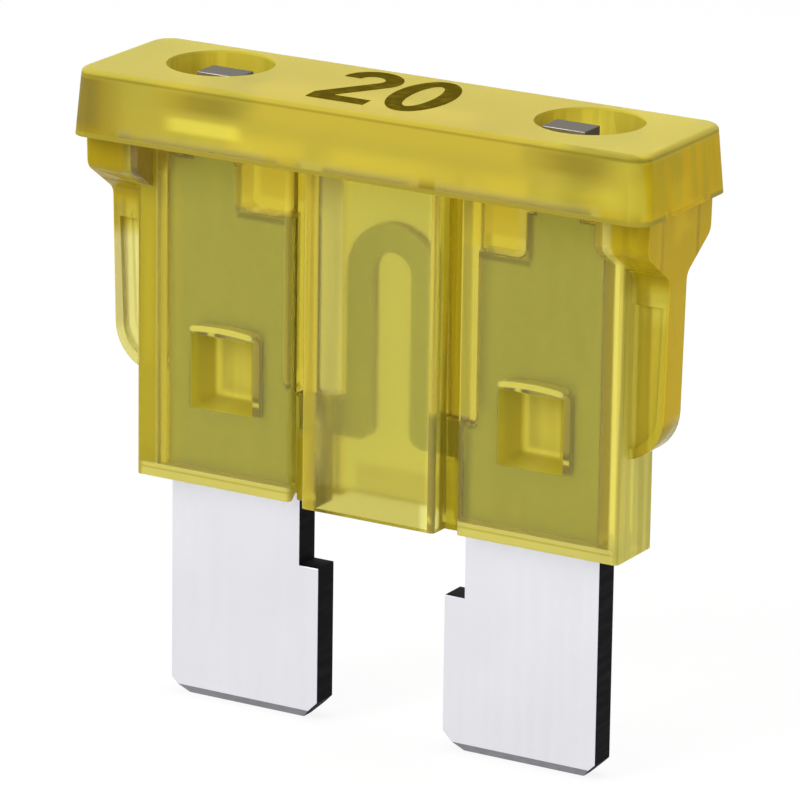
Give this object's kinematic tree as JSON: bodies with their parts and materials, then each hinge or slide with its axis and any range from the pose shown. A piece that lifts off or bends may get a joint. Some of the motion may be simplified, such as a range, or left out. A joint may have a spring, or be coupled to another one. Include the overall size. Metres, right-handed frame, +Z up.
{
  "type": "automotive blade fuse",
  "caption": "Regular-size plug-in blade fuse: a stamped metal element with flat terminal blades and an arched link, staked into a translucent yellow moulded housing.",
  "frame": {"origin": "midway between the blades, at the height of their tips", "axes": "+Z up, from the blade tips to the head; X across both blades; Y through their thickness, with -Y towards the picture's camera"},
  "size_m": [0.019, 0.0052, 0.0194],
  "materials": {
    "housing_plastic": "translucent yellow moulded plastic, frosted on the head",
    "element_metal": "tin-plated zinc alloy sheet, satin faces and dark stamped edges"
  },
  "bodies": {
    "root": {"housing": "housing_plastic", "fuse_element": "element_metal"}
  },
  "joints": []
}
